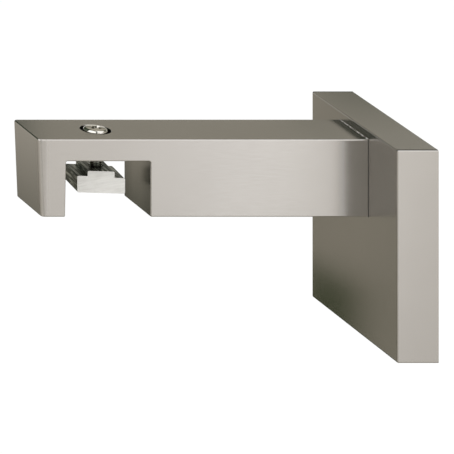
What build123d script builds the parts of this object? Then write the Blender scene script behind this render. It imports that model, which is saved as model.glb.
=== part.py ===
from build123d import *

import os
from math import cos, radians, sin, tan

# A wall bracket for a square curtain rail, in millimetres.
# +Z is up. The wall is the plane Y = 0 and the room lies towards -Y. X runs along the rail.
# The origin is the centre of the wall plate's back.

# Wall plate
plate_width = 44.0
plate_height = 50.0
plate_thickness = 9.7
plate_edge = 0.35

# Pocket in the back of the wall plate
pocket_depth = 4.4
side_rim = 3.0
top_rim = 3.0
bottom_rim = 5.0

# Arm
arm_width = 15.0
arm_height = 18.4
arm_length = 78.5
arm_top_drop = 2.2
end_lean = 0.75
arm_edge = 0.3
nose_edge = 0.9

# Notch that takes the rail, open downwards
leg_thickness = 6.7
leg_taper = 0.25
notch_width = 20.0
bridge_thickness = 5.2
notch_corner = 0.4

# Clamp screw, pan head, 3 mm thread
head_diameter = 5.6
head_height = 2.4
head_proud = 0.6
head_crown = 14.0
head_round = 0.7
thread_core = 2.5
clamp_screw_length = 12.0
tip_chamfer = 0.4
recess_span = 3.0
recess_slot = 0.9
recess_depth = 1.4
recess_floor_share = 0.5
recess_turn = 38.0
counterbore_diameter = 7.0
counterbore_edge = 0.08
clamp_hole = 3.4

# Clamp block, a T section that hangs on the clamp screw
block_length = 8.8
block_offset = 0.2
base_width = 11.0
base_height = 3.7
stem_width = 6.2
stem_height = 1.5
outer_shoulder = 0.25
block_edge = 0.3
block_yaw = 5.0
block_drop = 3.4
block_sink = 3.7

# Mounting plate on the wall, inside the pocket
mount_thickness = 4.0
hook_angle = 15.0
hook_gap = 0.1
mount_side_gap = 0.3
release_gap = 1.6
mount_corner = 1.5
wall_hole = 4.5
wall_hole_sink = 9.0
wall_hole_spacing = 24.0

# Countersunk screws that hold the arm on the wall plate
arm_screw_spacing = 8.6
arm_screw_drop = 1.0
arm_screw_diameter = 4.0
arm_screw_head = 7.5
arm_screw_length = 14.0
arm_screw_hole = 4.4
arm_hole_spare = 1.0
arm_screw_key = 2.5
arm_screw_key_depth = 1.4
head_sunk = 0.1

# Set screws in the lower rim
set_screw_diameter = 3.0
set_screw_length = 5.0
set_screw_spacing = 20.0
set_screw_key = 1.5
set_screw_key_depth = 1.6
set_screw_point = 0.6

# Radial clearance of each thread in its tapped hole
thread_clearance = 0.05

# Levels and stations that follow from the values above
plate_front = -plate_thickness
arm_top = plate_height / 2 - arm_top_drop
arm_bottom = arm_top - arm_height
arm_middle = (arm_top + arm_bottom) / 2
arm_free_end = plate_front - arm_length
notch_outer = arm_free_end + leg_thickness
notch_inner = notch_outer + notch_width
notch_ceiling = arm_top - bridge_thickness
screw_y = (notch_outer + notch_inner) / 2
counterbore_depth = head_height - head_proud
head_seat = arm_top - counterbore_depth
block_top = notch_ceiling - block_drop
block_bottom = block_top - stem_height - base_height
hook_slope = tan(radians(hook_angle))
pocket_floor = -pocket_depth
pocket_top = plate_height / 2 - top_rim
pocket_bottom = bottom_rim - plate_height / 2
pocket_half = plate_width / 2 - side_rim
mount_top = pocket_top - (pocket_depth - mount_thickness) * hook_slope - hook_gap
mount_bottom = pocket_bottom + release_gap
mount_half = pocket_half - mount_side_gap
mount_middle = (mount_top + mount_bottom) / 2
arm_screw_top = pocket_floor - head_sunk
arm_hole_depth = arm_screw_length + arm_hole_spare + plate_front - arm_screw_top
arm_screw_middle = arm_middle - arm_screw_drop
arm_screw_levels = {
    "arm_screw_upper": arm_screw_middle + arm_screw_spacing / 2,
    "arm_screw_lower": arm_screw_middle - arm_screw_spacing / 2,
}
set_screw_y = -mount_thickness / 2
set_screw_places = {
    "set_screw_left": -set_screw_spacing / 2,
    "set_screw_right": set_screw_spacing / 2,
}

os.makedirs("parts", exist_ok=True)


def hooked_corners(top, bottom, depth):
    """Section of the pocket or of the plate in it. The top leans up and away from the wall."""
    return [
        (0, bottom),
        (-depth, bottom),
        (-depth, top),
        (0, top - depth * hook_slope),
    ]


def is_sharp(edge):
    """True for an edge of the arm that is neither in the notch's ceiling nor in its round nose."""
    middle = edge.center()
    in_ceiling = middle.Z > notch_ceiling - 2 * notch_corner and middle.Z < notch_ceiling + 0.01
    runs_along_x = abs(edge.tangent_at(0.5).X) > 0.99
    nose_reach = arm_free_end + end_lean + 2 * nose_edge
    on_nose_side = abs(edge.tangent_at(0.5).Z) > 0.99 and middle.Y < nose_reach
    return not (in_ceiling and runs_along_x) and not on_nose_side


# Arm, cut from one bar
with BuildPart() as arm:
    with BuildSketch(Plane.YZ) as arm_outline:
        with BuildLine():
            Polyline(
                (plate_front, arm_bottom),
                (notch_inner, arm_bottom),
                (notch_inner, notch_ceiling),
                (notch_outer, notch_ceiling),
                (notch_outer - leg_taper, arm_bottom),
                (arm_free_end + end_lean, arm_bottom),
                (arm_free_end, arm_top),
                (plate_front, arm_top),
                close=True,
            )
        make_face()
        ceiling_corners = [
            corner
            for corner in arm_outline.vertices()
            if abs(corner.Y - notch_ceiling) < 0.01
        ]
        fillet(ceiling_corners, notch_corner)
    extrude(amount=arm_width / 2, both=True)
    free_end = arm.faces().sort_by(Axis.Y)[0]
    fillet(free_end.edges().filter_by(Axis.X, reverse=True), nose_edge)
    fillet(arm.edges().filter_by(is_sharp), arm_edge)
    with Locations((0, screw_y, arm_top)):
        CounterBoreHole(
            radius=clamp_hole / 2,
            counter_bore_radius=counterbore_diameter / 2,
            counter_bore_depth=counterbore_depth,
        )
    chamfer(
        arm.edges()
        .filter_by(GeomType.CIRCLE)
        .filter_by(lambda edge: abs(edge.radius - counterbore_diameter / 2) < 0.01)
        .sort_by(Axis.Z)[-1],
        counterbore_edge,
    )
    for level in arm_screw_levels.values():
        with Locations(Plane(origin=(0, plate_front, level), z_dir=(0, 1, 0))):
            Hole(radius=arm_screw_diameter / 2 + thread_clearance, depth=arm_hole_depth)
arm.part.label = "arm"
export_step(arm.part, "parts/arm.step")

# Wall plate, with the pocket in its back
with BuildPart() as wall_plate:
    with Locations((0, plate_front / 2, 0)):
        Box(plate_width, plate_thickness, plate_height)
    fillet(
        wall_plate.edges().filter_by(Axis.Y)
        + wall_plate.faces().sort_by(Axis.Y)[0].edges(),
        plate_edge,
    )
    with BuildSketch(Plane.YZ):
        Polygon(*hooked_corners(pocket_top, pocket_bottom, pocket_depth), align=None)
    extrude(amount=pocket_half, both=True, mode=Mode.SUBTRACT)
    for level in arm_screw_levels.values():
        with Locations(Plane(origin=(0, pocket_floor, level), z_dir=(0, 1, 0))):
            CounterSinkHole(
                radius=arm_screw_hole / 2,
                counter_sink_radius=arm_screw_head / 2 + head_sunk,
                counter_sink_angle=90,
            )
    for place in set_screw_places.values():
        with Locations(Plane(origin=(place, set_screw_y, -plate_height / 2), z_dir=(0, 0, -1))):
            Hole(radius=set_screw_diameter / 2 + thread_clearance, depth=bottom_rim)
wall_plate.part.label = "wall_plate"
export_step(wall_plate.part, "parts/wall_plate.step")

# Mounting plate, screwed to the wall
with BuildPart() as mounting_plate:
    with BuildSketch(Plane.YZ):
        Polygon(*hooked_corners(mount_top, mount_bottom, mount_thickness), align=None)
    extrude(amount=mount_half, both=True)
    fillet(mounting_plate.edges().filter_by(Axis.Y).group_by(Axis.Z)[0], mount_corner)
    mount_face = Plane(
        origin=(0, -mount_thickness, mount_middle), x_dir=(1, 0, 0), z_dir=(0, -1, 0)
    )
    with Locations(mount_face):
        with GridLocations(0, wall_hole_spacing, 1, 2):
            CounterSinkHole(
                radius=wall_hole / 2,
                counter_sink_radius=wall_hole_sink / 2,
                counter_sink_angle=90,
            )
mounting_plate.part.label = "mounting_plate"
export_step(mounting_plate.part, "parts/mounting_plate.step")

# Screws from the pocket into the arm's end
for name, level in arm_screw_levels.items():
    head_top = (0, arm_screw_top, level)
    shank_radius = arm_screw_diameter / 2
    with BuildPart() as arm_screw:
        with BuildSketch(Plane(origin=head_top, x_dir=(1, 0, 0), z_dir=(0, 0, 1))):
            with BuildLine():
                Polyline(
                    (0, 0),
                    (arm_screw_head / 2, 0),
                    (shank_radius, shank_radius - arm_screw_head / 2),
                    (shank_radius, tip_chamfer - arm_screw_length),
                    (shank_radius - tip_chamfer, -arm_screw_length),
                    (0, -arm_screw_length),
                    close=True,
                )
            make_face()
        revolve(axis=Axis(head_top, (0, 1, 0)))
        with BuildSketch(Plane(origin=head_top, x_dir=(1, 0, 0), z_dir=(0, 1, 0))):
            RegularPolygon(radius=arm_screw_key / 2, side_count=6, major_radius=False)
        extrude(amount=-arm_screw_key_depth, mode=Mode.SUBTRACT)
    arm_screw.part.label = name
    export_step(arm_screw.part, f"parts/{name}.step")

# Set screws, with their points on the mounting plate's lower edge
for name, place in set_screw_places.items():
    point = (place, set_screw_y, mount_bottom)
    key_end = (place, set_screw_y, mount_bottom - set_screw_length)
    set_radius = set_screw_diameter / 2
    with BuildPart() as set_screw:
        with BuildSketch(Plane(origin=point, x_dir=(1, 0, 0), z_dir=(0, -1, 0))):
            with BuildLine():
                Polyline(
                    (0, 0),
                    (set_radius - set_screw_point, 0),
                    (set_radius, -set_screw_point),
                    (set_radius, -set_screw_length),
                    (0, -set_screw_length),
                    close=True,
                )
            make_face()
        revolve(axis=Axis(point, (0, 0, 1)))
        with BuildSketch(Plane(origin=key_end, x_dir=(1, 0, 0), z_dir=(0, 0, 1))):
            RegularPolygon(radius=set_screw_key / 2, side_count=6, major_radius=False)
        extrude(amount=set_screw_key_depth, mode=Mode.SUBTRACT)
    set_screw.part.label = name
    export_step(set_screw.part, f"parts/{name}.step")

# Clamp screw: pan head in the counterbore, and the core of its thread
head_radius = head_diameter / 2
core_radius = thread_core / 2
crown_drop = head_crown - (head_crown**2 - head_radius**2) ** 0.5
screw_seat = (0, screw_y, head_seat)
screw_plane = Plane(origin=screw_seat, x_dir=(1, 0, 0), z_dir=(0, -1, 0))
with BuildPart() as clamp_screw:
    with BuildSketch(screw_plane) as screw_half:
        with BuildLine():
            Polyline(
                (0, head_height),
                (0, -clamp_screw_length),
                (core_radius - tip_chamfer, -clamp_screw_length),
                (core_radius, tip_chamfer - clamp_screw_length),
                (core_radius, 0),
                (head_radius, 0),
                (head_radius, head_height - crown_drop),
            )
            RadiusArc((head_radius, head_height - crown_drop), (0, head_height), -head_crown)
        make_face()
        brim = screw_half.vertices().sort_by_distance((head_radius, head_height - crown_drop))
        fillet(brim[0], head_round)
    revolve(axis=Axis(screw_seat, (0, 0, 1)))
    for turn in (recess_turn, recess_turn + 90):
        with BuildSketch(Plane.XY.offset(arm_top + head_proud)):
            with Locations((0, screw_y)):
                Rectangle(recess_span, recess_slot, rotation=turn)
        with BuildSketch(Plane.XY.offset(arm_top + head_proud - recess_depth)):
            with Locations((0, screw_y)):
                Rectangle(
                    recess_span * recess_floor_share,
                    recess_slot * recess_floor_share,
                    rotation=turn,
                )
        loft(mode=Mode.SUBTRACT)
clamp_screw.part.label = "clamp_screw"
export_step(clamp_screw.part, "parts/clamp_screw.step")

# Clamp block, sawn from a T bar, with its countersunk tapped hole
yaw = radians(block_yaw)
block_plane = Plane(
    origin=(-block_offset * cos(yaw), screw_y + block_offset * sin(yaw), block_bottom),
    x_dir=(sin(yaw), cos(yaw), 0),
    z_dir=(cos(yaw), -sin(yaw), 0),
)
with BuildPart() as clamp_block:
    with BuildSketch(block_plane) as block_outline:
        with Locations((0, base_height / 2)):
            Rectangle(base_width, base_height)
        with Locations((0, (base_height + stem_height) / 2)):
            Rectangle(stem_width, base_height + stem_height)
        with Locations((-base_width / 4, (base_height + outer_shoulder) / 2)):
            Rectangle(base_width / 2, base_height + outer_shoulder)
        stem_foot = base_height + (outer_shoulder + stem_height) / 2
        shoulders = [
            corner
            for corner in block_outline.vertices()
            if abs(abs(corner.X) - stem_width / 2) > 0.01 or corner.Y > stem_foot
        ]
        fillet(shoulders, block_edge)
    extrude(amount=block_length / 2, both=True)
    with Locations((0, screw_y, block_top)):
        CounterSinkHole(
            radius=core_radius + thread_clearance,
            counter_sink_radius=block_sink / 2,
            counter_sink_angle=90,
        )
clamp_block.part.label = "clamp_block"
export_step(clamp_block.part, "parts/clamp_block.step")
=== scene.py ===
"""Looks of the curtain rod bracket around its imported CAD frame, in metres, +Z up, with the wall at y = 0."""
import math

import bmesh
import bpy
from mathutils import Matrix, Vector


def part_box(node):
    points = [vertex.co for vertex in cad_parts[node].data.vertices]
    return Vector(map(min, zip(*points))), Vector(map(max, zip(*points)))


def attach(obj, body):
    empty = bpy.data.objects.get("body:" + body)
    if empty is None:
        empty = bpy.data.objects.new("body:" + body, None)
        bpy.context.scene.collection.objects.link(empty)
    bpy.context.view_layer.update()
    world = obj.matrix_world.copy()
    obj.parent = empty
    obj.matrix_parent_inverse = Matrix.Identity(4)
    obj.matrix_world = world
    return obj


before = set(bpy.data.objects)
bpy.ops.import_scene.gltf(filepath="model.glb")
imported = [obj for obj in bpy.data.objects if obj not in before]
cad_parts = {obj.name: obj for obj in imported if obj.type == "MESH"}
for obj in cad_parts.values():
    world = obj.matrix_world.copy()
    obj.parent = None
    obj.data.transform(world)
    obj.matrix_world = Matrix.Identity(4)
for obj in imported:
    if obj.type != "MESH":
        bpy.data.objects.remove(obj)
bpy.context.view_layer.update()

MM = 0.001

# The camera's eye and axis, as a fit to the corners in the photograph gave them. Its picture plane
# stays parallel to the arm's side face while its axis points at the bracket.
EYE = Vector((1.2475, -0.5885, 0.4276))
BACKWARDS = Vector((0.87335, -0.38396, 0.29972))
LENS = 473.9
SENSOR = 36.0
NEAREST_SEEN = 0.1
FARTHEST_SEEN = 20.0

# Where the clamp screw's head rests, and the radius of the bore round the head.
SCREW_PLACE = Vector((0, -71.5, 21.0)) * MM
BORE_RADIUS = 3.5 * MM

# The clamp screw's metric thread. The fade is in turns, and the shares are of the pitch, to each side.
THREAD_PITCH = 0.5 * MM
THREAD_CORE = 1.25 * MM
THREAD_CREST = 1.48 * MM
THREAD_OVERLAP = 0.05 * MM
THREAD_STEPS = 40
THREAD_FADE = 0.75
THREAD_END_GAP = 0.55 * MM
THREAD_HEAD_GAP = 0.4 * MM
THREAD_FOOT_SHARE = 0.44
THREAD_CREST_SHARE = 0.07

# The bead round the arm's end at the plate.
SEAM_BEAD = 0.13 * MM
SEAM_CORNER = 0.3 * MM
SEAM_CORNER_STEPS = 4

# How far from the plate's middle the fine line of painted shade along each end of its top lies.
RIM_PLACE = 21.82 * MM

# The satin strokes' noise scale along each axis, small along the strokes.
STROKES_ALONG_Y = (3600.0, 260.0, 3600.0)
STROKES_ALONG_Z = (3600.0, 3600.0, 260.0)

# Colours and roughness of the metals.
NICKEL_LIGHT = (0.580, 0.555, 0.530)
NICKEL_DARK = (0.548, 0.523, 0.498)
NICKEL_ROUGHNESS = (0.22, 0.26)
NOSE_ROUGHNESS = 0.25
# The next colour is painted shade and painted dark reflection, laid on the bore's walls, the notch's inner
# wall, the screw head's recess and a fine line along the plate's top.
PAINTED_SHADE_TONE = (0.13, 0.125, 0.115)
# The next colour is painted shade on the clamp screw's shank and thread below its head.
SHANK_SHADE_TONE = (0.26, 0.265, 0.235)
DRAWN_DARK = (0.040, 0.050, 0.038)
DRAWN_LIGHT = (0.66, 0.68, 0.63)
SAWN_LIGHT = (0.66, 0.65, 0.62)
SAWN_MARK = (0.52, 0.51, 0.48)
# The seam bead's colours are painted light: a painted highlight in specks over painted shade above and below,
# and painted shade in the gap along the arm's sides.
SEAM_SPECK_SHADE = (0.07, 0.065, 0.055)
SEAM_GLINT_LIGHT = (0.46, 0.45, 0.42)
SEAM_GAP_SHADE = (0.035, 0.034, 0.028)

# The floor and the world. What is seen of them is white, and what they light with is plainer.
FLOOR_HEIGHT = -0.40
FLOOR_SIZE = 6.0
FLOOR_TONE = (0.9, 0.9, 0.9)
FLOOR_GLOW = 1.09
WHITE_SHARE = 0.85
SKY_LEVEL = 0.6
WHITE = (1, 1, 1)

# The lamps, as place, width and power, and the place on the arm that both point at.
LAMP_TARGET = (0, -0.04, 0)
KEY_LAMP = ((0.90, -0.40, 0.95), 0.60, 12.0)
FILL_LAMP = ((0.30, -1.20, 0.40), 0.60, 5.0)

# A light tent stands close round the bracket, with a dark flag in it. Only reflections see them.
TENT_LOW = Vector((-0.12, -0.30, -0.12))
TENT_HIGH = Vector((0.20, 0.25, 0.30))
TENT_STRENGTH = 1.6
FLAG_LOW = Vector((-0.086, -0.0366, -0.095))
FLAG_HIGH = Vector((-0.054, -0.0366, -0.0352))
FLAG_COLOUR = (0.018, 0.036, 0.003)

# How the tent's colour turns from neutral, where it is bright, to warm and then to olive.
WARM_BELOW = 1.05
WARM_SPAN = 0.65
GLOOM_BELOW = 0.30
GLOOM_SPAN = 0.25
WARM_GREEN_LOSS = 0.07
WARM_BLUE_LOSS = 0.23
GLOOM_RED_LOSS = 0.12
GLOOM_GREEN = 0.008

# The levels of the tent's walls. Each stop is a place along one axis and the level there.
BRIGHT_SIDE_ALONG_Y = (
    (-0.150, 0.80), (-0.138, 0.80), (-0.125, 0.05), (-0.089, 0.05), (-0.075, 0.82), (-0.004, 0.88),
    (0.025, 0.94), (0.040, 1.14), (0.056, 1.70), (0.066, 0.96), (0.072, 0.52), (0.084, 0.86), (0.150, 0.82),
)
BRIGHT_SIDE_HIGH_UP = ((-0.140, 1.55), (-0.130, 0.10), (-0.090, 0.10), (-0.080, 1.05))
HIGH_UP = (0.13, 0.16)
BRIGHT_SIDE_RISE = (0.86, 1.14, -0.10, 0.0)

# The grey wall's levels by height, in zones along Y, and the stretch where each zone takes over.
GREY_FREE_END = ((-0.064, 0.02), (-0.050, 0.29), (0.006, 0.67), (0.026, 0.60), (0.046, 0.10))
GREY_NOTCH = ((-0.038, 0.00), (-0.020, 0.36), (0.020, 0.22), (0.045, 0.06))
GREY_PLATE_FRONT = (
    (-0.104, 0.02), (-0.092, 0.40), (0.005, 0.28), (0.020, 0.90), (0.036, 0.90), (0.047, 0.03), (0.200, 0.03),
)
GREY_TOPS = (
    (-0.050, 0.03), (-0.025, 0.10), (-0.008, 0.70), (0.045, 0.66), (0.054, 0.25), (0.066, 0.26),
    (0.080, 0.40), (0.160, 0.46),
)
GREY_REAR = (
    (-0.060, 0.03), (0.040, 0.02), (0.056, 0.10), (0.066, 0.42), (0.077, 0.66), (0.094, 0.06),
)
GREY_FAR_REAR = ((0.080, 0.30), (0.088, 0.95), (0.110, 0.95), (0.120, 0.06))
GREY_ZONES = (
    ((-0.134, -0.120), GREY_NOTCH),
    ((-0.100, -0.092), GREY_PLATE_FRONT),
    ((-0.046, -0.036), GREY_TOPS),
    ((0.024, 0.046), GREY_REAR),
    ((0.070, 0.080), GREY_FAR_REAR),
)

CEILING_ALONG_Y = (
    (-0.300, 1.45), (-0.092, 1.45), (-0.084, 0.05), (-0.040, 0.05), (-0.032, 1.35), (0.180, 1.40),
    (0.220, 0.40),
)
CEILING_EDGE = (-0.115, -0.105)
CEILING_EDGE_LEVEL = 0.12
FRONT_BELOW = ((-0.120, 0.40), (0.100, 0.62), (0.180, 0.80))
FRONT_ABOVE = ((-0.050, 0.05), (-0.030, 1.60))
FRONT_SOFTBOX = (0.075, 0.090)
PLAIN_ALONG_X = ((-0.120, 0.25), (0.200, 0.60))


class Nodes:
    """A node tree that is built from the left to the right."""

    def __init__(self, tree):
        self.tree = tree
        self.tree.nodes.clear()
        self.column = 0

    def add(self, kind, **settings):
        node = self.tree.nodes.new(kind)
        node.location = (self.column * 220, 0)
        self.column += 1
        for name, value in settings.items():
            setattr(node, name, value)
        return node

    def link(self, source, target):
        self.tree.links.new(source, target)

    def place(self):
        return self.add("ShaderNodeTexCoord").outputs["Object"]

    def stretched(self, place, scale, turn=0.0):
        """place, turned about X by turn degrees and then scaled along each axis."""
        turned = self.add("ShaderNodeVectorRotate", rotation_type="X_AXIS")
        turned.inputs["Angle"].default_value = math.radians(turn)
        self.link(place, turned.inputs["Vector"])
        mapping = self.add("ShaderNodeMapping")
        mapping.inputs["Scale"].default_value = scale
        self.link(turned.outputs["Vector"], mapping.inputs["Vector"])
        return mapping.outputs["Vector"]

    def math(self, operation, *values):
        result = self.add("ShaderNodeMath", operation=operation)
        for socket, value in zip(result.inputs, values):
            if isinstance(value, float):
                socket.default_value = value
            else:
                self.link(value, socket)
        return result.outputs["Value"]

    def product(self, first, *others):
        for other in others:
            first = self.math("MULTIPLY", first, other)
        return first

    def parts(self, vector):
        """The vector's three coordinates."""
        separate = self.add("ShaderNodeSeparateXYZ")
        self.link(vector, separate.inputs["Vector"])
        return separate.outputs["X"], separate.outputs["Y"], separate.outputs["Z"]

    def noise(self, place, scale, detail=3.0, roughness=0.5):
        noise = self.add("ShaderNodeTexNoise")
        noise.inputs["Scale"].default_value = scale
        noise.inputs["Detail"].default_value = detail
        noise.inputs["Roughness"].default_value = roughness
        self.link(place, noise.inputs["Vector"])
        return noise.outputs["Fac"]

    def to_range(self, value, low, high, from_low=0.3, from_high=0.7, smooth=False):
        mapped = self.add("ShaderNodeMapRange")
        mapped.inputs["From Min"].default_value = from_low
        mapped.inputs["From Max"].default_value = from_high
        mapped.inputs["To Min"].default_value = low
        mapped.inputs["To Max"].default_value = high
        mapped.interpolation_type = "SMOOTHSTEP" if smooth else "LINEAR"
        self.link(value, mapped.inputs["Value"])
        return mapped.outputs["Result"]

    def rising(self, value, start, end):
        """0 before start and 1 after end."""
        return self.to_range(value, 0.0, 1.0, start, end)

    def falling(self, value, start, end):
        """1 before start and 0 after end."""
        return self.to_range(value, 1.0, 0.0, start, end)

    def blend(self, share, first, second):
        mix = self.add("ShaderNodeMix", data_type="RGBA")
        self.link(share, mix.inputs["Factor"])
        for socket, colour in ((mix.inputs["A"], first), (mix.inputs["B"], second)):
            if isinstance(colour, tuple):
                socket.default_value = (*colour, 1)
            else:
                self.link(colour, socket)
        return mix.outputs["Result"]

    def bump(self, height, strength, distance, before=None):
        bump = self.add("ShaderNodeBump")
        bump.inputs["Strength"].default_value = strength
        bump.inputs["Distance"].default_value = distance
        self.link(height, bump.inputs["Height"])
        if before is not None:
            self.link(before, bump.inputs["Normal"])
        return bump.outputs["Normal"]

    def emission(self, colour, strength, kind="ShaderNodeEmission"):
        shader = self.add(kind)
        shader.inputs["Color"].default_value = (*colour, 1)
        shader.inputs["Strength"].default_value = strength
        return shader.outputs[0]

    def surface(self, shader):
        output = self.add("ShaderNodeOutputMaterial")
        self.link(shader, output.inputs["Surface"])


def new_nodes(name):
    material = bpy.data.materials.new(name)
    material.use_nodes = True
    return material, Nodes(material.node_tree)


def from_screw(nodes, x, y):
    """The distance from the clamp screw's axis."""
    across = nodes.math("ADD", y, -SCREW_PLACE.y)
    squares = nodes.math("ADD", nodes.product(x, x), nodes.product(across, across))
    return nodes.math("SQRT", squares)


def recess_shade_share(nodes, place):
    """Painted shade: rises down the recess in the clamp screw's head, and is 0 elsewhere."""
    x, y, z = nodes.parts(place)
    inside = nodes.falling(from_screw(nodes, x, y), 1.50 * MM, 1.62 * MM)
    deep = nodes.to_range(z, 0.95, 0.0, 22.3 * MM, 23.22 * MM)
    return nodes.product(inside, deep)


def bore_shade_share(nodes, place):
    """Painted shade: 1 on the walls of the clamp screw's bore, and 0 elsewhere."""
    x, y, z = nodes.parts(place)
    near = nodes.falling(from_screw(nodes, x, y), BORE_RADIUS + 0.02 * MM, BORE_RADIUS + 0.10 * MM)
    below = nodes.falling(z, 22.68 * MM, 22.76 * MM)
    above = nodes.rising(z, 17.65 * MM, 17.75 * MM)
    return nodes.product(near, below, above)


def notch_reflection_share(nodes, place):
    """Painted dark reflection: rises towards both upright edges of the notch's inner wall, and is 0 elsewhere.
    """
    x, y, z = nodes.parts(place)
    near = nodes.to_range(nodes.math("ABSOLUTE", x), 0.10, 0.45, 2.0 * MM, 7.0 * MM)
    behind = nodes.rising(y, -61.65 * MM, -61.55 * MM)
    before = nodes.falling(y, -61.45 * MM, -61.35 * MM)
    below = nodes.falling(z, 17.3 * MM, 17.6 * MM)
    return nodes.product(near, behind, before, below)


def nose_share(nodes, place):
    """1 round the upright edges of the arm's free end, which are rougher, and 0 elsewhere."""
    x, y, z = nodes.parts(place)
    aside = nodes.rising(nodes.math("ABSOLUTE", x), 6.5 * MM, 6.9 * MM)
    at_end = nodes.falling(y, -86.6 * MM, -86.0 * MM)
    below = nodes.falling(z, 22.3 * MM, 22.6 * MM)
    return nodes.product(aside, at_end, below)


def rim_shade_share(nodes, place):
    """Painted shade: 1 on a fine line along the plate's top beside each side face, and 0 elsewhere."""
    x, y, z = nodes.parts(place)
    aside = nodes.math("ABSOLUTE", x)
    begins = nodes.rising(aside, RIM_PLACE - 0.60 * MM, RIM_PLACE - 0.45 * MM)
    ends = nodes.falling(aside, RIM_PLACE, RIM_PLACE + 0.06 * MM)
    on_top = nodes.rising(z, 24.6 * MM, 24.8 * MM)
    return nodes.product(begins, ends, on_top)


def satin_nickel(name, streak_scale, bored=False, rimmed=False):
    """Fine satin metal. streak_scale is small along the direction of the satin strokes."""
    material, nodes = new_nodes(name)
    place = nodes.place()
    clouds = nodes.noise(place, scale=45.0, detail=2.0)
    streaks = nodes.noise(nodes.stretched(place, streak_scale), scale=1.0, detail=4.0, roughness=0.6)
    grain = nodes.noise(place, scale=5200.0, detail=2.0)
    cloud_share = nodes.to_range(clouds, 0.0, 1.0, 0.2, 0.8, smooth=True)
    streak_share = nodes.to_range(streaks, 0.0, 0.35, 0.3, 0.7, smooth=True)
    tone = nodes.blend(streak_share, nodes.blend(cloud_share, NICKEL_DARK, NICKEL_LIGHT), NICKEL_DARK)
    roughness = nodes.to_range(streaks, *NICKEL_ROUGHNESS)
    if bored:
        # Painted shade on the walls of the clamp screw's bore.
        tone = nodes.blend(bore_shade_share(nodes, place), tone, PAINTED_SHADE_TONE)
        # Painted dark reflection towards the upright edges of the notch's inner wall.
        tone = nodes.blend(notch_reflection_share(nodes, place), tone, PAINTED_SHADE_TONE)
        roughness = nodes.math("ADD", roughness, nodes.product(nose_share(nodes, place), NOSE_ROUGHNESS))
    if rimmed:
        # Painted shade on a fine line along the plate's top.
        tone = nodes.blend(rim_shade_share(nodes, place), tone, PAINTED_SHADE_TONE)
    shader = nodes.add("ShaderNodeBsdfPrincipled")
    shader.inputs["Metallic"].default_value = 1.0
    nodes.link(tone, shader.inputs["Base Color"])
    nodes.link(roughness, shader.inputs["Roughness"])
    strokes = nodes.bump(streaks, strength=0.06, distance=0.02 * MM)
    finish = nodes.bump(grain, strength=0.05, distance=0.02 * MM, before=strokes)
    nodes.link(finish, shader.inputs["Normal"])
    nodes.surface(shader.outputs["BSDF"])
    return material


def plated_steel(name, light, dark, roughness, painted_shade_below=None):
    """Plated steel with fine mottling.

    Given a height, it carries painted shade below that height, and in the recess of the clamp screw's head.
    """
    material, nodes = new_nodes(name)
    place = nodes.place()
    mottle = nodes.noise(place, scale=250.0, detail=4.0)
    grain = nodes.noise(place, scale=3500.0, detail=2.0)
    tone = nodes.blend(nodes.to_range(mottle, 0.0, 1.0, smooth=True), dark, light)
    if painted_shade_below is not None:
        # Painted shade down the recess of the clamp screw's head.
        tone = nodes.blend(recess_shade_share(nodes, place), tone, PAINTED_SHADE_TONE)
        height = nodes.parts(place)[2]
        # Painted shade on the shank and thread below the clamp screw's head.
        tone = nodes.blend(nodes.falling(height, painted_shade_below - 0.2 * MM, painted_shade_below), tone, SHANK_SHADE_TONE)
    shader = nodes.add("ShaderNodeBsdfPrincipled")
    shader.inputs["Metallic"].default_value = 1.0
    nodes.link(tone, shader.inputs["Base Color"])
    nodes.link(nodes.to_range(mottle, *roughness), shader.inputs["Roughness"])
    nodes.link(nodes.bump(grain, strength=0.10, distance=0.01 * MM), shader.inputs["Normal"])
    nodes.surface(shader.outputs["BSDF"])
    return material


def sawn_steel(name):
    """The clamp block: drawn sides with marks along X, and matte sawn ends whose marks run aslant."""
    material, nodes = new_nodes(name)
    place = nodes.place()
    drawn = nodes.noise(nodes.stretched(place, (90.0, 2200.0, 2200.0)), scale=1.0, detail=4.0, roughness=0.7)
    sawn = nodes.noise(nodes.stretched(place, (300.0, 260.0, 3000.0), turn=-12.0), scale=1.0, detail=3.0)
    patches = nodes.noise(place, scale=420.0, detail=3.0)
    normal = nodes.add("ShaderNodeNewGeometry").outputs["Normal"]
    facing = nodes.math("ABSOLUTE", nodes.parts(normal)[0])
    end = nodes.rising(facing, 0.80, 0.92)
    drawn_colour = nodes.blend(nodes.rising(drawn, 0.47, 0.64), DRAWN_DARK, DRAWN_LIGHT)
    marked = nodes.product(nodes.to_range(sawn, 0.0, 0.9), nodes.to_range(patches, 0.2, 1.0))
    sawn_colour = nodes.blend(marked, SAWN_LIGHT, SAWN_MARK)
    shader = nodes.add("ShaderNodeBsdfPrincipled")
    nodes.link(nodes.blend(end, drawn_colour, sawn_colour), shader.inputs["Base Color"])
    nodes.link(nodes.to_range(end, 1.0, 0.25, 0.0, 1.0), shader.inputs["Metallic"])
    nodes.link(nodes.to_range(end, 0.34, 0.60, 0.0, 1.0), shader.inputs["Roughness"])
    marks = nodes.bump(drawn, strength=0.45, distance=0.04 * MM)
    finish = nodes.bump(sawn, strength=0.20, distance=0.02 * MM, before=marks)
    nodes.link(finish, shader.inputs["Normal"])
    nodes.surface(shader.outputs["BSDF"])
    return material


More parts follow.
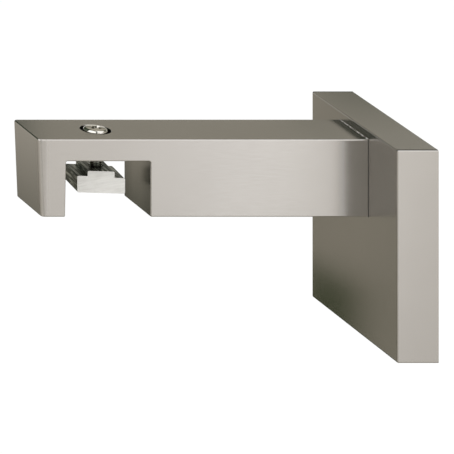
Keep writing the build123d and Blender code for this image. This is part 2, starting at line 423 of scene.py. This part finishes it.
def seam_glint_and_shade(name):
    """The bead at the arm's end: painted highlight in specks over painted shade above and below, and painted
    shade along the arm's sides.
    """
    material, nodes = new_nodes(name)
    place = nodes.place()
    specks = nodes.rising(nodes.noise(place, scale=2200.0, detail=2.0), 0.46, 0.60)
    # Painted highlight in specks over painted shade, above and below the bead.
    speckled_glint = nodes.blend(specks, SEAM_SPECK_SHADE, SEAM_GLINT_LIGHT)
    aside = nodes.math("ABSOLUTE", nodes.parts(place)[0])
    # Painted shade in the gap along the arm's sides.
    tone = nodes.blend(nodes.rising(aside, 7.35 * MM, 7.50 * MM), speckled_glint, SEAM_GAP_SHADE)
    shader = nodes.add("ShaderNodeBsdfPrincipled")
    shader.inputs["Roughness"].default_value = 0.5
    nodes.link(tone, shader.inputs["Base Color"])
    nodes.surface(shader.outputs["BSDF"])
    return material


def make_materials():
    """The material of each CAD node."""
    zinc_plate = plated_steel(
        "zinc_plate", light=(0.62, 0.63, 0.64), dark=(0.52, 0.53, 0.55), roughness=(0.36, 0.48))
    zinc_screw = plated_steel(
        "zinc_screw", light=(0.60, 0.61, 0.62), dark=(0.50, 0.51, 0.53), roughness=(0.28, 0.38))
    black_screw = plated_steel(
        "black_screw", light=(0.070, 0.068, 0.066), dark=(0.045, 0.044, 0.043), roughness=(0.38, 0.50))
    bright_screw = plated_steel(
        "bright_nickel", light=(0.76, 0.74, 0.70), dark=(0.70, 0.68, 0.64), roughness=(0.08, 0.12),
        painted_shade_below=SCREW_PLACE.z)
    return {
        "arm": satin_nickel("satin_nickel_arm", STROKES_ALONG_Y, bored=True),
        "wall_plate": satin_nickel("satin_nickel_plate", STROKES_ALONG_Z, rimmed=True),
        "mounting_plate": zinc_plate,
        "arm_screw_upper": zinc_screw,
        "arm_screw_lower": zinc_screw,
        "set_screw_left": black_screw,
        "set_screw_right": black_screw,
        "clamp_screw": bright_screw,
        "clamp_block": sawn_steel("sawn_block"),
    }


def dress(node, material):
    """Gives a CAD node its material."""
    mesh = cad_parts[node].data
    mesh.materials.clear()
    mesh.materials.append(material)


def add_piece(name, data, body):
    """Links a new piece that rides on a body."""
    piece = bpy.data.objects.new(name, data)
    bpy.context.scene.collection.objects.link(piece)
    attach(piece, body)
    return piece


def thread_rings():
    """The four corners of the thread's section at each step of its helix, as points."""
    low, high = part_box("clamp_screw")
    centre = Vector(((low.x + high.x) / 2, (low.y + high.y) / 2))
    foot = THREAD_CORE - THREAD_OVERLAP
    bottom = low.z + THREAD_END_GAP
    top = SCREW_PLACE.z - THREAD_HEAD_GAP
    turns = (top - bottom) / THREAD_PITCH
    half_foot = THREAD_PITCH * THREAD_FOOT_SHARE
    half_crest = THREAD_PITCH * THREAD_CREST_SHARE
    rings = []
    for step in range(int(turns * THREAD_STEPS) + 1):
        turn = step / THREAD_STEPS
        angle = 2 * math.pi * turn
        height = bottom + turn * THREAD_PITCH
        fade = min(1.0, turn / THREAD_FADE, (turns - turn) / THREAD_FADE)
        reach = foot + (THREAD_CREST - foot) * max(fade, 0.0)
        corners = ((foot, -half_foot), (reach, -half_crest), (reach, half_crest), (foot, half_foot))
        rings.append([
            (centre.x + radius * math.cos(angle), centre.y + radius * math.sin(angle), height + rise)
            for radius, rise in corners
        ])
    return rings


def screw_thread(material):
    """The ridge of the thread as a helix round the CAD shank, faded out at both ends."""
    mesh = bmesh.new()
    rings = [[mesh.verts.new(point) for point in ring] for ring in thread_rings()]
    for first, second in zip(rings, rings[1:]):
        for corner in range(4):
            following = (corner + 1) % 4
            mesh.faces.new((first[corner], first[following], second[following], second[corner]))
    mesh.faces.new(rings[0])
    mesh.faces.new(list(reversed(rings[-1])))
    bmesh.ops.recalc_face_normals(mesh, faces=mesh.faces)
    data = bpy.data.meshes.new("clamp_screw_thread")
    mesh.to_mesh(data)
    mesh.free()
    data.materials.append(material)
    return add_piece("clamp_screw_thread", data, "clamp_screw")


def seam_points():
    """The points of a ring with rounded corners round the arm's end, which lies on the plate."""
    low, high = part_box("arm")
    corners = ((1, high.z, -1, 0), (-1, high.z, -1, 90), (-1, low.z, 1, 180), (1, low.z, 1, 270))
    points = []
    for side, level, inwards, start in corners:
        x = side * (high.x - SEAM_CORNER)
        z = level + inwards * SEAM_CORNER
        for step in range(SEAM_CORNER_STEPS + 1):
            angle = math.radians(start + 90 * step / SEAM_CORNER_STEPS)
            points.append((x + SEAM_CORNER * math.cos(angle), high.y, z + SEAM_CORNER * math.sin(angle)))
    return points


def arm_seam(material):
    """The fine bead round the arm where its end meets the plate."""
    curve = bpy.data.curves.new("arm_seam", "CURVE")
    curve.dimensions = "3D"
    curve.bevel_depth = SEAM_BEAD
    curve.bevel_resolution = 3
    points = seam_points()
    ring = curve.splines.new("POLY")
    ring.points.add(len(points) - 1)
    for point, place in zip(ring.points, points):
        point.co = (*place, 1)
    ring.use_cyclic_u = True
    curve.materials.append(material)
    return add_piece("arm_seam", curve, "bracket")


def white_for_cameras(nodes, inside, outside):
    """inside is seen by camera, glossy and transmission rays, and outside by the others."""
    path = nodes.add("ShaderNodeLightPath")
    seen = nodes.math("MAXIMUM", path.outputs["Is Camera Ray"], path.outputs["Is Glossy Ray"])
    either = nodes.math("MAXIMUM", seen, path.outputs["Is Transmission Ray"])
    mix = nodes.add("ShaderNodeMixShader")
    nodes.link(either, mix.inputs["Fac"])
    nodes.link(outside, mix.inputs[1])
    nodes.link(inside, mix.inputs[2])
    return mix.outputs["Shader"]


def make_world():
    world = bpy.data.worlds.new("studio")
    world.use_nodes = True
    bpy.context.scene.world = world
    nodes = Nodes(world.node_tree)
    white = nodes.emission(WHITE, 1.0, "ShaderNodeBackground")
    soft = nodes.emission(WHITE, SKY_LEVEL, "ShaderNodeBackground")
    output = nodes.add("ShaderNodeOutputWorld")
    nodes.link(white_for_cameras(nodes, white, soft), output.inputs["Surface"])


def stage_piece(data):
    piece = bpy.data.objects.new(data.name, data)
    bpy.context.scene.collection.objects.link(piece)
    return piece


def make_floor():
    """A pale floor that keeps the bracket's shadow and is white where it is seen."""
    material, nodes = new_nodes("pale_floor")
    pale = nodes.add("ShaderNodeBsdfDiffuse")
    pale.inputs["Color"].default_value = (*FLOOR_TONE, 1)
    mix = nodes.add("ShaderNodeMixShader")
    mix.inputs["Fac"].default_value = WHITE_SHARE
    nodes.link(pale.outputs["BSDF"], mix.inputs[1])
    nodes.link(nodes.emission(WHITE, FLOOR_GLOW), mix.inputs[2])
    nodes.surface(white_for_cameras(nodes, mix.outputs["Shader"], pale.outputs["BSDF"]))
    half = FLOOR_SIZE / 2
    corners = [(x * half, y * half, FLOOR_HEIGHT) for x, y in ((-1, -1), (1, -1), (1, 1), (-1, 1))]
    data = bpy.data.meshes.new("floor")
    data.from_pydata(corners, [], [(0, 1, 2, 3)])
    data.materials.append(material)
    stage_piece(data)


def tent_colour(level):
    """The colour of the tent at a level: neutral, warm where it is less bright and olive where it is dark."""
    warmth = min(max((WARM_BELOW - level) / WARM_SPAN, 0.0), 1.0)
    gloom = min(max((GLOOM_BELOW - level) / GLOOM_SPAN, 0.0), 1.0)
    share = level / TENT_STRENGTH
    red = share * (1 - GLOOM_RED_LOSS * gloom)
    green = share * (1 - WARM_GREEN_LOSS * warmth) + GLOOM_GREEN * gloom
    blue = share * (1 - WARM_BLUE_LOSS * warmth)
    return red, green, blue


def tent_levels(nodes, place, low, high, stops):
    """Levels that run along one axis of a tent wall. stops lists places along it and their levels."""
    ramp = nodes.add("ShaderNodeValToRGB")
    nodes.link(nodes.rising(place, low, high), ramp.inputs["Fac"])
    elements = ramp.color_ramp.elements
    while len(elements) < len(stops):
        elements.new(1.0)
    for element, (stop, level) in zip(elements, stops):
        element.position = (stop - low) / (high - low)
        element.color = (*tent_colour(level), 1)
    return ramp.outputs["Color"]


def along_x(nodes, x, stops):
    return tent_levels(nodes, x, TENT_LOW.x, TENT_HIGH.x, stops)


def along_y(nodes, y, stops):
    return tent_levels(nodes, y, TENT_LOW.y, TENT_HIGH.y, stops)


def up_z(nodes, z, stops):
    return tent_levels(nodes, z, TENT_LOW.z, TENT_HIGH.z, stops)


def bright_side(nodes, x, y, z):
    """The bright wall at +X, which the arm's side and the plate's side mirror."""
    along = along_y(nodes, y, BRIGHT_SIDE_ALONG_Y)
    high_up = along_y(nodes, y, BRIGHT_SIDE_HIGH_UP)
    return nodes.blend(nodes.rising(z, *HIGH_UP), along, high_up)


def grey_side(nodes, x, y, z):
    """The grey wall at -X, whose zones the free end, the notch, the plate's front and the tops mirror."""
    level = up_z(nodes, z, GREY_FREE_END)
    for border, stops in GREY_ZONES:
        level = nodes.blend(nodes.rising(y, *border), level, up_z(nodes, z, stops))
    return level


def ceiling(nodes, x, y, z):
    """Two softboxes side by side, with a narrow gap between them and a dark edge at the grey wall."""
    lit = nodes.rising(x, *CEILING_EDGE)
    return nodes.blend(lit, tent_colour(CEILING_EDGE_LEVEL), along_y(nodes, y, CEILING_ALONG_Y))


def front_wall(nodes, x, y, z):
    """Brighter towards +X, as the round edge of the free end shows it, with a softbox above."""
    below = along_x(nodes, x, FRONT_BELOW)
    above = along_x(nodes, x, FRONT_ABOVE)
    return nodes.blend(nodes.rising(z, *FRONT_SOFTBOX), below, above)


def plain_wall(nodes, x, y, z):
    return along_x(nodes, x, PLAIN_ALONG_X)


def wall_material(name, paint):
    """A wall of the light tent, whose colour paint gives. The bright wall also glows more towards its top."""
    material, nodes = new_nodes(name)
    x, y, z = nodes.parts(nodes.place())
    glow = nodes.add("ShaderNodeEmission")
    glow.inputs["Strength"].default_value = TENT_STRENGTH
    nodes.link(paint(nodes, x, y, z), glow.inputs["Color"])
    if paint is bright_side:
        strength = nodes.product(nodes.to_range(z, *BRIGHT_SIDE_RISE), TENT_STRENGTH)
        nodes.link(strength, glow.inputs["Strength"])
    nodes.surface(glow.outputs["Emission"])
    return material


def only_mirrored(data):
    """A stage piece that only glossy rays see."""
    piece = stage_piece(data)
    piece.visible_camera = False
    piece.visible_diffuse = False
    piece.visible_transmission = False
    piece.visible_shadow = False


def make_tent():
    """The light tent as a box whose walls glow at their own levels."""
    low, high = TENT_LOW, TENT_HIGH
    corners = [(x, y, z) for x in (low.x, high.x) for y in (low.y, high.y) for z in (low.z, high.z)]
    walls = (
        ("tent_grey_side", grey_side, (0, 1, 3, 2)),
        ("tent_bright_side", bright_side, (4, 6, 7, 5)),
        ("tent_front", front_wall, (0, 4, 5, 1)),
        ("tent_ceiling", ceiling, (1, 5, 7, 3)),
        ("tent_rear", plain_wall, (2, 3, 7, 6)),
        ("tent_bottom", plain_wall, (0, 2, 6, 4)),
    )
    data = bpy.data.meshes.new("light_tent")
    data.from_pydata(corners, [], [face for _, _, face in walls])
    for name, paint, _ in walls:
        data.materials.append(wall_material(name, paint))
    for face in data.polygons:
        face.material_index = face.index
    only_mirrored(data)


def make_flag():
    """A small dark flag, whose soft reflection darkens the plate's front low down at its far side."""
    low, high = FLAG_LOW, FLAG_HIGH
    corners = [
        (low.x, low.y, low.z),
        (high.x, high.y, low.z),
        (high.x, high.y, high.z),
        (low.x, low.y, high.z),
    ]
    data = bpy.data.meshes.new("black_flag")
    data.from_pydata(corners, [], [(0, 1, 2, 3)])
    material, nodes = new_nodes("black_flag")
    nodes.surface(nodes.emission(FLAG_COLOUR, 1.0))
    data.materials.append(material)
    only_mirrored(data)


def lamp(name, place, width, power):
    """A square lamp that points at the arm. Its own shape isn't mirrored in the metal."""
    light = bpy.data.lights.new(name, "AREA")
    light.shape = "SQUARE"
    light.size = width
    light.energy = power
    holder = bpy.data.objects.new(name, light)
    holder.location = place
    holder.rotation_euler = (Vector(LAMP_TARGET) - Vector(place)).to_track_quat("-Z", "Y").to_euler()
    holder.visible_glossy = False
    bpy.context.scene.collection.objects.link(holder)


def make_camera():
    """A parent's matrix turns the lens axis while the picture plane stays parallel to the arm's side."""
    data = bpy.data.cameras.new("camera")
    data.lens = LENS
    data.sensor_width = SENSOR
    data.clip_start = NEAREST_SEEN
    data.clip_end = FARTHEST_SEEN
    camera = bpy.data.objects.new("camera", data)
    holder = bpy.data.objects.new("camera_holder", None)
    for piece in (camera, holder):
        bpy.context.scene.collection.objects.link(piece)
    camera.parent = holder
    camera.matrix_parent_inverse = Matrix((
        (0, 0, BACKWARDS.x, EYE.x),
        (1, 0, BACKWARDS.y, EYE.y),
        (0, 1, BACKWARDS.z, EYE.z),
        (0, 0, 0, 1),
    ))
    bpy.context.scene.camera = camera


materials = make_materials()
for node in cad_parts:
    dress(node, materials[node])
screw_thread(materials["clamp_screw"])
arm_seam(seam_glint_and_shade("arm_seam"))

make_world()
make_floor()
make_tent()
make_flag()
lamp("key", *KEY_LAMP)
lamp("fill", *FILL_LAMP)
make_camera()

bpy.context.scene.view_settings.view_transform = "Standard"
